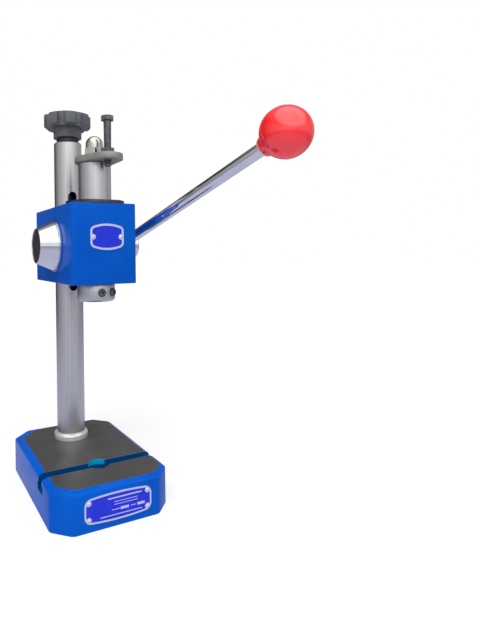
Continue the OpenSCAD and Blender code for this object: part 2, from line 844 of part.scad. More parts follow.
// A set screw whose dog point keeps the ram from turning
module ram_key_screw() {
    tip_x = ram_r - key_depth + slide_gap;
    color(dark) translate([0, ram_y, key_z]) rotate([0, 90, 0]) difference() {
        union() {
            bar(key_dog_d, tip_x, ram_bore_r + 1);
            bar(key_screw_d, ram_bore_r + 0.4, head_w / 2 - 1);
        }
        translate([0, 0, head_w / 2 - 4]) hexagon(key_screw_d * socket_share, past);
    }
}

// Soft pads that the lock screws press against the column
module column_lock_pads() {
    start = column_r + lock_pad_gap;
    color(bronze) for (z = lock_z) translate([0, column_y, z]) rotate([0, 90, 0]) difference() {
        bar(lock_d - 2 * slide_gap, 0, start + lock_pad_t - touch_gap);
        rotate([0, -90, 0]) cylinder(r = start, h = lock_d * 2, center = true);
    }
}

// A lock screw with a hexagon head, standing out of the head's right side
module lock_screw(z) {
    start = column_r + lock_pad_gap + lock_pad_t;
    color(dark) translate([0, column_y, z]) rotate([0, 90, 0]) {
        bar(lock_d, start, head_w / 2 + lock_out + eps);
        translate([0, 0, head_w / 2 + lock_out]) eased_hexagon(lock_d * 1.6, lock_d * 0.7);
    }
}

module lock_screw_upper() {
    lock_screw(lock_z[1]);
}

module lock_screw_lower() {
    lock_screw(lock_z[0]);
}

// One tooth space of the rack, seen from the right: x is depth behind the pitch line
module rack_space() {
    half = tooth_pitch / 4 + backlash;
    slope = tan(pressure);
    deep = 1.25 * gear_module;
    high = gear_module + past;
    polygon([[high, half + high * slope], [high, -half - high * slope],
        [-deep, -half + deep * slope], [-deep, half - deep * slope]]);
}

module rack_cut() {
    flat_z = pinion_z - (spaces_below + 0.5) * tooth_pitch;
    flat_h = (spaces_below + spaces_above + 1) * tooth_pitch;
    translate([-ram_d, rack_line + gear_module, flat_z]) cube([2 * ram_d, ram_d, flat_h]);
    for (i = [-spaces_below:spaces_above])
        translate([0, rack_line, pinion_z + i * tooth_pitch]) rotate([90, 0, 90])
            linear_extrude(2 * ram_d, center = true) rack_space();
}

// A clamp screw's hole or body, turned about the ram to face outwards
module at_clamp(turn) {
    translate([0, ram_y, clamp_z]) rotate([0, 0, turn]) rotate([0, 90, 0]) children();
}

module ram() {
    color(ground) difference() {
        at_ram() union() {
            eased_bar(ram_d, nose_top_z - past, ram_top, 1);
            rotate_extrude() polygon([[0, nose_z], [nose_d / 2 - nose_chamfer, nose_z],
                [nose_d / 2, nose_z + nose_chamfer], [nose_d / 2, nose_top_z - 0.5],
                [nose_d / 2 - 0.5, nose_top_z], [0, nose_top_z]]);
        }
        at_ram() rack_cut();
        at_ram() bar(shank_d, nose_z - past, nose_z + shank_h);
        at_ram() bar(stud_d, ram_top - stud_in_ram, ram_top + past);
        translate([ram_r - key_depth, ram_y - keyway_w / 2, key_z - keyway_w / 2])
            cube([past, keyway_w, stroke + keyway_w]);
        for (turn = [clamp_front_turn, clamp_side_turn]) at_clamp(turn) {
            bar(clamp_dog_d + 2 * run_gap, 0, nose_d);
            bar(clamp_d + 2 * run_gap, clamp_neck_r, nose_d);
        }
    }
}

module plate_plan() {
    hull() {
        circle(plate_back_r);
        translate([stop_x, stop_y - ram_y]) circle(plate_front_r);
    }
}

module stop_plate() {
    color(ground) difference() {
        at_ram() translate([0, 0, ram_top]) linear_extrude(plate_t) plate_plan();
        at_ram() bar(stud_d, ram_top - past, plate_top + past);
        translate([stop_x, stop_y, 0]) bar(stop_d + 2 * run_gap, ram_top - past, plate_top + past);
    }
}

module ram_stud() {
    color(dark) at_ram() bar(stud_d, ram_top - stud_in_ram, acorn_z);
}

module acorn_nut() {
    dome_r = acorn_dome_d / 2;
    color(chrome) at_ram() translate([0, 0, plate_top]) rotate(acorn_turn) difference() {
        union() {
            eased_hexagon(acorn_af, acorn_hex_h);
            translate([0, 0, acorn_hex_h / 2]) cylinder(r = dome_r, h = acorn_hex_h / 2 + acorn_neck_h);
            translate([0, 0, acorn_hex_h + acorn_neck_h]) sphere(dome_r);
        }
        translate([0, 0, -eps]) cylinder(d = stud_d, h = acorn_hex_h + eps);
    }
}

module stop_bolt_locknut() {
    color(dark) translate([stop_x, stop_y, plate_top]) rotate(stop_turn) difference() {
        eased_hexagon(locknut_af, locknut_h);
        translate([0, 0, -past]) cylinder(d = stop_d + 2 * run_gap, h = locknut_h + 2 * past);
    }
}

module stop_bolt() {
    color(dark) translate([stop_x, stop_y, 0]) {
        eased_bar(stop_d, stop_tip_z, plate_top + stop_out + lead_in, lead_in);
        translate([0, 0, plate_top + stop_out]) rotate(stop_turn)
            eased_hexagon(stop_af, stop_head_h);
    }
}

// A set screw whose dog point stops short of the shank hole, with a hexagon socket
module clamp_screw(turn, out) {
    color(dark) at_clamp(turn) difference() {
        union() {
            bar(clamp_dog_d, shank_d / 2 + slide_gap, clamp_neck_r + 1);
            eased_bar(clamp_d, clamp_neck_r + run_gap, nose_d / 2 + out, lead_in);
        }
        translate([0, 0, nose_d / 2 + out - 3]) hexagon(clamp_d * socket_share, past);
    }
}

module shank_clamp_screw_front() {
    clamp_screw(clamp_front_turn, -0.8);
}

module shank_clamp_screw_side() {
    clamp_screw(clamp_side_turn, 2.2);
}

// Angle of an involute at the pressure angle a, in degrees
function involute(a) = tan(a) * 180 / PI - a;

// Half the angle that a tooth fills at radius r
function half_tooth(r) = 90 / pinion_teeth - backlash / pinion_r * 180 / PI
    + involute(pressure) - involute(acos(min(1, base_circle_r / max(r, base_circle_r))));

function tooth_flank(side) = [for (r = tooth_radii) [r, side * half_tooth(r)]];

module pinion_plan() {
    polygon([for (i = [0:pinion_teeth - 1]) for (side = [-1, 1])
        for (k = [0:len(tooth_radii) - 1])
            let (p = tooth_flank(side)[side < 0 ? k : len(tooth_radii) - 1 - k],
                a = p[1] + 360 * i / pinion_teeth)
            [p[0] * cos(a), p[0] * sin(a)]]);
}

module pinion_shaft() {
    arbor_end = -head_w / 2 - cap_seat + 1;
    collar_x = bush_inner_x - slide_gap;
    color(ground) on_pinion_axis() difference() {
        union() {
            rotate(-90) linear_extrude(pinion_w, center = true) pinion_plan();
            bar(2 * shaft_collar_r, -collar_x, collar_x);
            bar(journal_d, -head_w / 2 + cover_spigot, hub_x);
            bar(arbor_d, arbor_end, 0);
            eased_bar(hub_seat_d, 0, hub_x + hub_l - hub_cap_t, 0.8);
        }
        translate([0, 0, hub_pin_x]) rotate([0, 90, 0])
            cylinder(d = hub_pin_d, h = hub_d * 2, center = true);
    }
}

// The clip that keeps the shaft from sliding out to the right
module pinion_retaining_ring() {
    color(dark) on_pinion_axis() difference() {
        bar(ring_d, -head_w / 2 + cover_spigot - run_gap - ring_t,
            -head_w / 2 + cover_spigot - run_gap);
        bar(arbor_d, -head_w, 0);
    }
}

module lever_hub() {
    color(chrome) difference() {
        on_pinion_axis() difference() {
            eased_bar(hub_d, hub_x, hub_x + hub_l, 1);
            bar(hub_seat_d, hub_x - past, hub_x + hub_l - hub_cap_t);
            translate([0, 0, hub_pin_x]) rotate([0, 90, 0])
                cylinder(d = hub_pin_d, h = hub_d * 2, center = true);
        }
        on_lever() bar(rod_d, rod_seat, hub_d);
    }
}

module hub_pin() {
    color(ground) on_pinion_axis() translate([0, 0, hub_pin_x]) rotate([0, 90, 0])
        cylinder(d = hub_pin_d, h = hub_d - 1, center = true);
}

module lever_rod() {
    color(chrome) on_lever() eased_bar(rod_d, rod_seat, lever_l - ball_d / 2 + ball_hole, 0.5);
}

ball_foot = lever_l - sqrt(pow(ball_d / 2, 2) - pow(collar_d / 2, 2));

module ball_knob() {
    color(red) on_lever() difference() {
        union() {
            translate([0, 0, lever_l]) sphere(d = ball_d, $fn = 96);
            bar(collar_d, ball_foot - collar_h_ball + insert_t, lever_l);
        }
        bar(rod_d, 0, lever_l - ball_d / 2 + ball_hole);
    }
}

// The pale washer between the ball's collar and the rod
module ball_insert() {
    top = ball_foot - collar_h_ball + insert_t;
    color(ground) on_lever() difference() {
        eased_bar(collar_d - 2, top - insert_t, top, 0.3);
        bar(rod_d, top - past, top + past);
    }
}

base();
column();
column_foot_ring();
column_bolt();
column_bolt_washer();
column_top_bush();
base_nameplate();
base_nameplate_rivets();
height_knob();
knob_thrust_collar();
lead_screw();
knob_pin();
screw_retaining_collar();
head();
ram_guide_bush();
guide_flange_screws();
lift_nut();
lift_nut_pin();
head_badge();
head_badge_rivets();
pinion_bush_left();
pinion_bush_right();
spring_cover();
spring_cover_cap();
return_spring();
ram_key_screw();
column_lock_pads();
lock_screw_upper();
lock_screw_lower();
ram();
stop_plate();
ram_stud();
acorn_nut();
stop_bolt_locknut();
stop_bolt();
shank_clamp_screw_front();
shank_clamp_screw_side();
pinion_shaft();
pinion_retaining_ring();
lever_hub();
hub_pin();
lever_rod();
ball_knob();
ball_insert();
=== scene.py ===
# Bench hand punch press: the looks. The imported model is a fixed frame, and each piece made here sits on it.
import json
import math

import bmesh
import bpy
from mathutils import Matrix, Vector


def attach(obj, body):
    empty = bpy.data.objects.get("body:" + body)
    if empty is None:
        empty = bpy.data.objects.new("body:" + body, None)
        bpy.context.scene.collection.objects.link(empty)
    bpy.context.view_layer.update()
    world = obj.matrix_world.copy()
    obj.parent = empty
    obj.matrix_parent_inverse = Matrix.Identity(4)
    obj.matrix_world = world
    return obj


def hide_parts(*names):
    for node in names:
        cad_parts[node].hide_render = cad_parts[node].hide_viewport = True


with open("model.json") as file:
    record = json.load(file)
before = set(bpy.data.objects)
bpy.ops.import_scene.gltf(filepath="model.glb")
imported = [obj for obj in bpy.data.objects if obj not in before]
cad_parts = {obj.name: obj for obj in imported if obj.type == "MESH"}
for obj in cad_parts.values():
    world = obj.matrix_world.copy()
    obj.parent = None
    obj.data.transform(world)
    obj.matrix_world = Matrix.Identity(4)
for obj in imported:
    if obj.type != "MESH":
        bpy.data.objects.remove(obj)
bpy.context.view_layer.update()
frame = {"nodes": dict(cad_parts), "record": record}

MM = 0.001
X_AXIS, Z_AXIS = 0, 2
record = frame["record"]
body_of = {node: body for body, nodes in record["behaviour"]["bodies"].items() for node in nodes}
slot_of = {part["node"]: part["material_slot"] for part in record["subparts"]}

# Sizes of the press in millimetres, as its drawing has them. Heights are over the bench.

# Base, with its sloped rim, cut corners, T-slot and entry hole
base_w, base_d, base_h = 120.0, 180.0, 38.0
base_rim_w, base_rim_z, base_corner = 5.0, 35.4, 17.0
slot_mouth, slot_head, slot_floor_z, slot_step_z, entry_r = 11.0, 18.0, 22.5, 30.5, 11.0

# Column with the middle and half height of the band where its bore is darkened, the head, and the ram's axis
# and flange
column_y, column_r, bore_dark_z, bore_dark_half = 46.5, 16.0, 265.0, 100.0
head_w, head_d, head_z, head_top = 67.0, 134.0, 220.6, 299.6
ram_y, flange_r, flange_top = -41.0, 29.5, 302.9

# Stop bolt
stop_x, stop_y, bolt_r, bolt_pitch = 5.0, -64.0, 3.8, 1.25
bolt_foot_z, bolt_head_z = 335.2, 379.6

# Star knob and height screw
neck_r, neck_z, lobe_z = 16.3, 385.3, 397.0
screw_r, screw_pitch, thread_foot_z, thread_top_z = 7.0, 2.0, 202.0, 362.0

# Spring cover on the pinion's axis: rim, cone with its facing in degrees, the cap's seat, and the drum
pinion_y, pinion_z = -11.7, 259.0
rim_r, rim_t, cone_step, cone_faces, end_r, cover_out = 26.9, 3.5, 1.5, 28.0, 18.1, 20.3
cap_r, cap_seat, ledge, ledge_t, drum_r, cover_wall, spigot = 16.5, 16.9, 1.5, 1.0, 16.7, 2.4, 3.0
rim_edge_r, end_edge_r, lip_r = 0.5, 0.8, 0.4

# Lever: where its axis starts, how it leans, and its rod, washer and ball
lever_x, lever_rise, lever_lean, lever_l = 40.4, 20.5, 10.3, 232.8
rod_r, rod_seat, rod_end, rod_edge_r = 5.5, 10.0, 224.8, 0.5
ball_r, collar_r, collar_l, collar_edge_r, bore_gap = 20.0, 8.5, 5.0, 0.6, 0.1
washer_t, washer_inset, washer_edge_r, washer_gap = 1.6, 1.0, 0.3, 0.02

# Plates: places, borders, rivets with the reach of their holes, pads, and how deep the fields are etched
nameplate_x, nameplate_z, nameplate_border = 0.8, 18.8, 1.5
badge_x, badge_z, badge_border = 2.0, 266.6, 2.0
nameplate_rivet_x, nameplate_rivet_z, badge_rivet_x = 29.5, 7.6, 14.5
rivet_reach, pad_r, etch_depth, etch_slope = 2.2, 2.7, 0.15, 0.08

# Camera at the photograph's viewing angle. The picture is 640 pixels high.

view_from = Vector((-176.884, -504.721, 250.527)) * MM
yaw, pitch, roll = 0.4550, 0.0021, -0.0129
picture_px, focal_px, shift_right_px, shift_up_px = 640.0, 487.81, 100.0, -68.0
forward = Vector((math.sin(yaw) * math.cos(pitch), math.cos(yaw) * math.cos(pitch), math.sin(pitch)))
level = Vector((math.cos(yaw), -math.sin(yaw), 0.0))
upright = level.cross(forward)
right = math.cos(roll) * level + math.sin(roll) * upright
up = math.cos(roll) * upright - math.sin(roll) * level
bpy.ops.object.camera_add()
camera = bpy.context.object
camera.name = "camera"
camera.matrix_world = Matrix.Translation(view_from) @ Matrix((right, up, -forward)).transposed().to_4x4()
camera.data.sensor_width = 36.0
camera.data.lens = focal_px / picture_px * camera.data.sensor_width
camera.data.shift_x = shift_right_px / picture_px
camera.data.shift_y = shift_up_px / picture_px
bpy.context.scene.camera = camera


# Picking and shaping

def select_only(ob):
    bpy.ops.object.select_all(action="DESELECT")
    ob.select_set(True)
    bpy.context.view_layer.objects.active = ob


def edit(ob, kind, wanted):
    """Opens ob in edit mode with only the wanted vertices, edges or faces selected."""
    select_only(ob)
    bpy.ops.object.mode_set(mode="EDIT")
    bpy.ops.mesh.select_mode(type=kind)
    bpy.ops.mesh.select_all(action="DESELECT")
    mesh = bmesh.from_edit_mesh(ob.data)
    parts = {"VERT": mesh.verts, "EDGE": mesh.edges, "FACE": mesh.faces}[kind]
    picked = [part for part in parts if wanted(part)]
    for part in picked:
        part.select = True
    mesh.select_flush_mode()
    bmesh.update_edit_mesh(ob.data)
    return len(picked)


def close_edit():
    bpy.ops.object.mode_set(mode="OBJECT")


def middle(edge):
    """The edge's middle in millimetres."""
    return (edge.verts[0].co + edge.verts[1].co) / 2 / MM


def off_axis(edge, x, y):
    """How far the edge's middle lies from an upright axis, in millimetres."""
    at = middle(edge)
    return math.hypot(at.x - x, at.y - y)


def near_outline(edge, width, depth, margin):
    """Whether the edge's middle is that close to the sides of a width by depth block."""
    at = middle(edge)
    return abs(at.x) > width / 2 - margin or abs(at.y) > depth / 2 - margin


def runs_along(edge, axis, least=1.5):
    """Whether the edge covers at least that many millimetres along the axis."""
    return abs(edge.verts[0].co[axis] - edge.verts[1].co[axis]) > least * MM


def is_sharp(edge, degrees):
    return len(edge.link_faces) == 2 and edge.calc_face_angle(0.0) > math.radians(degrees)


def round_edges(ob, width, segments=2, where=lambda edge: True, degrees=28):
    """Rounds the sharp edges that where() picks, by width in millimetres."""
    if edit(ob, "EDGE", lambda edge: is_sharp(edge, degrees) and where(edge)):
        bpy.ops.mesh.bevel(offset=width * MM, segments=segments, profile=0.5, affect="EDGES",
                           clamp_overlap=True)
    close_edit()


def from_cad(node, name):
    """A merged copy of a CAD node that stands for it and rides where it rides."""
    ob = bpy.data.objects.new(name, frame["nodes"][node].data.copy())
    bpy.context.collection.objects.link(ob)
    ob.data.materials.clear()
    edit(ob, "FACE", lambda face: True)
    bpy.ops.mesh.remove_doubles(threshold=0.002 * MM)
    bpy.ops.mesh.dissolve_limited(angle_limit=math.radians(0.2))
    close_edit()
    bpy.ops.mesh.customdata_custom_splitnormals_clear()
    return stand_for(ob, node)


def stand_for(ob, node):
    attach(ob, body_of[node])
    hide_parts(node)
    return ob


def finish(ob, *materials, degrees=32):
    for material in materials:
        ob.data.materials.append(material)
    select_only(ob)
    bpy.ops.object.shade_smooth_by_angle(angle=math.radians(degrees))
    return ob


def on_lever():
    """Places what is drawn along +Z on the lever's axis, from the pinion's axis outwards."""
    return (Matrix.Translation(Vector((lever_x, pinion_y, pinion_z)) * MM)
            @ Matrix.Rotation(math.radians(90 - lever_rise), 4, "X")
            @ Matrix.Rotation(math.radians(lever_lean), 4, "Y"))


def on_cover():
    """Places what is drawn along +Z on the pinion's axis, from the head's left face outwards."""
    return (Matrix.Translation(Vector((-head_w / 2, pinion_y, pinion_z)) * MM)
            @ Matrix.Rotation(-math.pi / 2, 4, "Y"))


def turned(name, profile, sides, place, hollow=False):
    """A solid of revolution, drawn ring by ring from (radius, height) pairs in millimetres.
    A hollow one's profile comes back to where it starts."""
    first_r, first_z = profile[0]
    bpy.ops.object.select_all(action="DESELECT")
    bpy.ops.mesh.primitive_circle_add(vertices=sides, radius=first_r * MM, location=(0, 0, first_z * MM),
                                      fill_type="NOTHING" if hollow else "NGON")
    ob = bpy.context.object
    ob.name = name
    bpy.ops.object.transform_apply(location=True, rotation=True, scale=True)
    bpy.ops.object.mode_set(mode="EDIT")
    # A bare ring has no face, so face selection would miss it
    bpy.ops.mesh.select_mode(type="VERT")
    bpy.ops.mesh.select_all(action="SELECT")
    for (r0, z0), (r1, z1) in zip(profile, profile[1:]):
        bpy.ops.mesh.extrude_region_move(TRANSFORM_OT_translate={"value": (0, 0, (z1 - z0) * MM)})
        bpy.ops.transform.resize(value=(r1 / r0, r1 / r0, 1), center_override=(0, 0, z1 * MM))
    bpy.ops.mesh.select_all(action="SELECT")
    bpy.ops.mesh.remove_doubles(threshold=0.001 * MM)
    bpy.ops.mesh.normals_make_consistent(inside=False)
    close_edit()
    ob.data.transform(place)
    return ob


def arc(radius, start_at, end_at, steps, centre):
    """Points on an arc, as (radius, height) pairs. Angles are in degrees from level."""
    angles = [math.radians(start_at + (end_at - start_at) * i / steps) for i in range(steps + 1)]
    return [(centre[0] + radius * math.cos(a), centre[1] + radius * math.sin(a)) for a in angles]


def add_thread(ob, x, y, foot, top, radius, pitch):
    """Winds a 60 degree thread round the bar at (x, y), which is cut to the root, and joins it to ob."""
    depth = 0.62 * pitch
    root = radius - depth
    ridge_r = 0.5 * pitch
    below, slack = 1.0, 0.05

    def on_bar(vert):
        at = vert.co / MM
        return foot - below < at.z < top + slack and math.hypot(at.x - x, at.y - y) < radius + slack

    edit(ob, "VERT", on_bar)
    bpy.ops.transform.resize(value=(root / radius, root / radius, 1), center_override=(x * MM, y * MM, 0))
    close_edit()
    # A triangle standing on edge, moved out to the thread's radius, is wound up the bar
    bpy.ops.object.select_all(action="DESELECT")
    bpy.ops.mesh.primitive_circle_add(vertices=3, radius=ridge_r * MM,
                                      location=(x * MM, y * MM, (foot + pitch) * MM),
                                      rotation=(math.pi / 2, math.pi / 2, 0))
    ridge = bpy.context.object
    bpy.ops.object.transform_apply(location=False, rotation=True, scale=False)
    edit(ridge, "VERT", lambda vert: True)
    bpy.ops.transform.translate(value=((radius - ridge_r) * MM, 0, 0))
    close_edit()
    wind = ridge.modifiers.new("wind", "SCREW")
    wind.axis = "Z"
    wind.angle = 2 * math.pi
    wind.screw_offset = pitch * MM
    wind.iterations = int((top - foot - 2 * pitch) / pitch)
    wind.steps = wind.render_steps = 24
    wind.use_merge_vertices = False
    bpy.ops.object.modifier_apply(modifier="wind")
    edit(ridge, "EDGE", lambda edge: edge.is_boundary)
    bpy.ops.mesh.edge_face_add()
    bpy.ops.mesh.select_all(action="SELECT")
    bpy.ops.mesh.normals_make_consistent(inside=False)
    close_edit()
    bpy.ops.object.transform_apply(location=True, rotation=True, scale=True)
    select_only(ob)
    ridge.select_set(True)
    bpy.ops.object.join()


# Nodes of materials, floor and world

# Most of a noise's values lie between these
SPREAD = (0.3, 0.7)


def ink(code):
    """An sRGB hex value as a linear colour."""
    channels = [int(code[i:i + 2], 16) / 255 for i in (0, 2, 4)]
    return [c / 12.92 if c <= 0.04045 else ((c + 0.055) / 1.055) ** 2.4 for c in channels] + [1.0]


def fill(tree, node, inputs):
    """Sets inputs by name or number, or links them where the value is a node or an output."""
    for key, value in inputs.items():
        if isinstance(value, bpy.types.Node):
            value = next(output for output in value.outputs if output.enabled)
        if isinstance(value, bpy.types.NodeSocket):
            tree.links.new(value, node.inputs[key])
        else:
            node.inputs[key].default_value = value


def put(tree, kind, *values, **settings):
    """Adds a node with its settings. Its inputs come in their order, or by name or number in one dict."""
    node = tree.nodes.new("ShaderNode" + kind)
    for key, value in settings.items():
        setattr(node, key, value)
    if values and isinstance(values[0], dict):
        inputs = values[0]
    else:
        inputs = dict(zip([i for i, socket in enumerate(node.inputs) if socket.enabled], values))
    fill(tree, node, inputs)
    return node


def start(name, **sockets):
    """A new material with its shader's uniform values set on the shader itself."""
    material = bpy.data.materials.new(name)
    material.use_nodes = True
    tree = material.node_tree
    shader = tree.nodes["Principled BSDF"]
    fill(tree, shader, {key.replace("_", " "): value for key, value in sockets.items()})
    return material, tree, shader, put(tree, "TexCoord").outputs["Object"]


def grain(tree, place, size, detail=3.0, stretch=(1, 1, 1), roughness=0.5):
    """Noise whose features are about size millimetres, drawn out along an axis by stretch."""
    scaled = put(tree, "Mapping", {"Vector": place, "Scale": [1 / (size * MM * s) for s in stretch]})
    return put(tree, "TexNoise", {"Vector": scaled, "Scale": 1.0, "Detail": detail, "Roughness": roughness})


def mottle(tree, pattern, first, second, spread=SPREAD):
    """A colour that drifts from the first hex value to the second as the pattern does."""
    share = put(tree, "MapRange", pattern, *spread, 0, 1)
    return put(tree, "Mix", share, ink(first), ink(second), data_type="RGBA")


def within(tree, value, centre, half, soft=0.1):
    """1 where value is within half millimetres of centre, and 0 beyond."""
    off = put(tree, "Math", value, centre * MM, operation="SUBTRACT")
    off = put(tree, "Math", off, operation="ABSOLUTE")
    return put(tree, "MapRange", off, (half - soft) * MM, (half + soft) * MM, 1, 0)


# Materials

def enamel_coat(name):
    # Gloss machine enamel over filled cast iron: deep cobalt blue, a wet gloss broken by faint orange peel
    material, tree, shader, place = start(name, IOR=1.45, Specular_IOR_Level=0.09)
    # Orange peel has waves of about 2 mm, and the filler under it rolls over 15 mm
    peel = put(tree, "Math", grain(tree, place, 2.0, 1), grain(tree, place, 15, 1), operation="ADD")
    coat = mottle(tree, grain(tree, place, 45, 2), "0056BE", "004EB4")
    gloss = put(tree, "MapRange", grain(tree, place, 12), *SPREAD, 0.16, 0.26)
    bump = put(tree, "Bump", {"Height": peel, "Distance": 0.03 * MM, "Strength": 0.5})
    fill(tree, shader, {"Base Color": coat, "Roughness": gloss, "Normal": bump})
    return material, tree, shader, place, coat, gloss


def table_share(tree, place, x, y, z):
    """1 on the ground table and 0 on paint, whose edge cuts the corners and wavers where it was rubbed."""
    inset, shift_x, side_blend, corner_blend = base_rim_w + 0.9, 1.6, 4.0, 6.0
    slight_cut, deep_cut, waver_size, waver_reach, edge_half = 0.5, 7.0, 11.0, 4.2, 0.12
    wide = put(tree, "Math", x, shift_x * MM, operation="SUBTRACT")
    wide = put(tree, "Math", wide, operation="ABSOLUTE")
    deep = put(tree, "Math", y, operation="ABSOLUTE")
    edge = put(tree, "Math", wide, (base_w / 2 - inset) * MM, operation="SUBTRACT")
    end = put(tree, "Math", deep, (base_d / 2 - inset) * MM, operation="SUBTRACT")
    edge = put(tree, "Math", edge, end, side_blend * MM, operation="SMOOTH_MAX")
    # All four corners are cut a little, and the one at the back left is cut deeper
    leftward = put(tree, "Math", x, -1.0, operation="MULTIPLY")
    for first, second, further in ((wide, deep, slight_cut), (leftward, y, deep_cut)):
        reach = (base_w + base_d) / 2 - base_corner - (inset + further) * math.sqrt(2)
        both = put(tree, "Math", first, second, operation="ADD")
        corner = put(tree, "Math", both, reach * MM, operation="SUBTRACT")
        corner = put(tree, "Math", corner, math.sqrt(2), operation="DIVIDE")
        edge = put(tree, "Math", edge, corner, corner_blend * MM, operation="SMOOTH_MAX")
    waver = put(tree, "Math", grain(tree, place, waver_size, 4), 0.5, operation="SUBTRACT")
    edge = put(tree, "Math", waver, waver_reach * MM, edge, operation="MULTIPLY_ADD")
    inside = put(tree, "MapRange", edge, -edge_half * MM, edge_half * MM, 1, 0)
    top = put(tree, "MapRange", z, (base_h - 0.3) * MM, (base_h - 0.2) * MM, 0, 1)
    return put(tree, "Math", inside, top, operation="MULTIPLY")


def slot_shares(tree, x, y, z):
    """1 on the T-slot's and entry hole's walls, which get painted shade, and 1 on the upper lip at the back
    of the hole, which gets a painted highlight.
    """
    mouth = within(tree, y, ram_y, slot_mouth / 2 + 0.2)
    low = put(tree, "MapRange", z, (slot_step_z + 0.1) * MM, (slot_step_z + 0.2) * MM, 1, 0)
    under = put(tree, "Math", within(tree, y, ram_y, slot_head / 2 + 0.2), low, operation="MULTIPLY")
    from_axis = put(tree, "CombineXYZ", x, put(tree, "Math", y, ram_y * MM, operation="SUBTRACT"))
    hole = put(tree, "VectorMath", from_axis, operation="LENGTH")
    hole = put(tree, "MapRange", hole, (entry_r + 0.1) * MM, (entry_r + 0.2) * MM, 1, 0)
    walls = put(tree, "Math", mouth, under, operation="MAXIMUM")
    walls = put(tree, "Math", walls, hole, operation="MAXIMUM")
    over_floor = put(tree, "MapRange", z, (slot_floor_z - 0.2) * MM, (slot_floor_z - 0.1) * MM, 0, 1)
    walls = put(tree, "Math", walls, over_floor, operation="MULTIPLY")
    back_y, lip_z = ram_y + 6.5, 32.9
    back = put(tree, "MapRange", y, (back_y - 0.5) * MM, (back_y + 0.5) * MM, 0, 1)
    upper = put(tree, "MapRange", z, (lip_z - 0.3) * MM, (lip_z + 0.3) * MM, 0, 1)
    lip = put(tree, "Math", hole, back, operation="MULTIPLY")
    return walls, put(tree, "Math", lip, upper, operation="MULTIPLY")


def ground_table():
    # The same enamel, with the table surface-ground through it: dark iron with fine grinding lines. The
    # T-slot's walls get painted shade in darker blue, and the upper lip at the back of its entry hole a
    # painted highlight in pale teal.
    material, tree, shader, place, coat, gloss = enamel_coat("enamel_with_ground_iron_table")
    x, y, z = put(tree, "SeparateXYZ", place).outputs
    bare = table_share(tree, place, x, y, z)
    # Grinding lines run from front to back, drawn 0.5 mm apart so that they show
    lines = grain(tree, place, 0.5, 2, (1, 60, 1))
    iron = mottle(tree, lines, "787776", "6A696A")
    stains = put(tree, "MapRange", grain(tree, place, 30, 3), *SPREAD, 0, 0.5)
    iron = put(tree, "Mix", stains, iron, ink("5D5C5E"), data_type="RGBA")
    walls, lit_lip_share = slot_shares(tree, x, y, z)
    # Painted shade on the T-slot's walls, and a painted highlight in pale teal on the lit back lip of the
    # entry hole
    slot_shade_and_lit_lip = put(tree, "Mix", lit_lip_share, ink("00407C"), ink("0090B8"), data_type="RGBA")
    coat = put(tree, "Mix", walls, coat, slot_shade_and_lit_lip, data_type="RGBA")
    satin = put(tree, "MapRange", lines, *SPREAD, 0.42, 0.52)
    fill(tree, shader, {"Base Color": put(tree, "Mix", bare, coat, iron, data_type="RGBA"),
                        "Metallic": put(tree, "Math", bare, 0.8, operation="MULTIPLY"),
                        "Roughness": put(tree, "Mix", bare, gloss, satin)})
    return material


def bore_share(tree, place, bore_r):
    """1 on the column's bore and slot walls below its top bush, within bore_r of the axis."""
    out = put(tree, "VectorMath", place, (0, column_y * MM, 0), operation="SUBTRACT")
    out = put(tree, "VectorMath", out, (1, 1, 0), operation="MULTIPLY")
    out = put(tree, "VectorMath", out, operation="LENGTH")
    inside = put(tree, "MapRange", out, (bore_r - 0.15) * MM, (bore_r - 0.05) * MM, 1, 0)
    height = put(tree, "SeparateXYZ", place).outputs["Z"]
    below_bush = within(tree, height, bore_dark_z, bore_dark_half)
    return put(tree, "Math", inside, below_bush, operation="MULTIPLY")


def ground_steel(name, light, dark, smooth, rough, bore_r=None, metal=1.0):
    # Centreless-ground and polished steel bar: satin, with fine marks and stains drawn out along the bar.
    # With bore_r, the bore and slot walls within bore_r of the axis are darkened to near black.
    material, tree, shader, place = start(name, Metallic=metal)
    streaks = grain(tree, place, 1.2, 4, (1, 1, 90), 0.65)
    stains = put(tree, "MapRange", grain(tree, place, 8, 2, (1, 1, 6)), 0.5, 0.75, 0, 0.35)
    shade = mottle(tree, streaks, light, dark, (0.35, 0.65))
    shade = put(tree, "Mix", stains, shade, ink(dark), data_type="RGBA")
    if bore_r:
        shade = put(tree, "Mix", bore_share(tree, place, bore_r), shade, ink("201E22"), data_type="RGBA")
    satin = put(tree, "MapRange", streaks, *SPREAD, smooth, rough)
    bump = put(tree, "Bump", {"Height": streaks, "Distance": 0.002 * MM, "Strength": 0.2})
    fill(tree, shader, {"Base Color": shade, "Roughness": satin, "Normal": bump})
    return material


def mirror_chrome():
    # Bright chrome over polished steel: a hard mirror with the slightest haze where it has been handled
    material, tree, shader, place = start("mirror_chrome_plate", Metallic=1.0)
    haze = grain(tree, place, 14, 3)
    gloss = put(tree, "MapRange", haze, *SPREAD, 0.03, 0.07)
    fill(tree, shader, {"Base Color": mottle(tree, haze, "E9EAEF", "DCDDE6"), "Roughness": gloss})
    return material


def nickel_plate():
    # Bright nickel on the domed nut: warmer and softer than the chrome
    material, tree, shader, place = start("bright_nickel_plate", Metallic=1.0)
    haze = grain(tree, place, 5, 3)
    gloss = put(tree, "MapRange", haze, *SPREAD, 0.2, 0.28)
    fill(tree, shader, {"Base Color": mottle(tree, haze, "D9D6CF", "C8C5BD"), "Roughness": gloss})
    return material


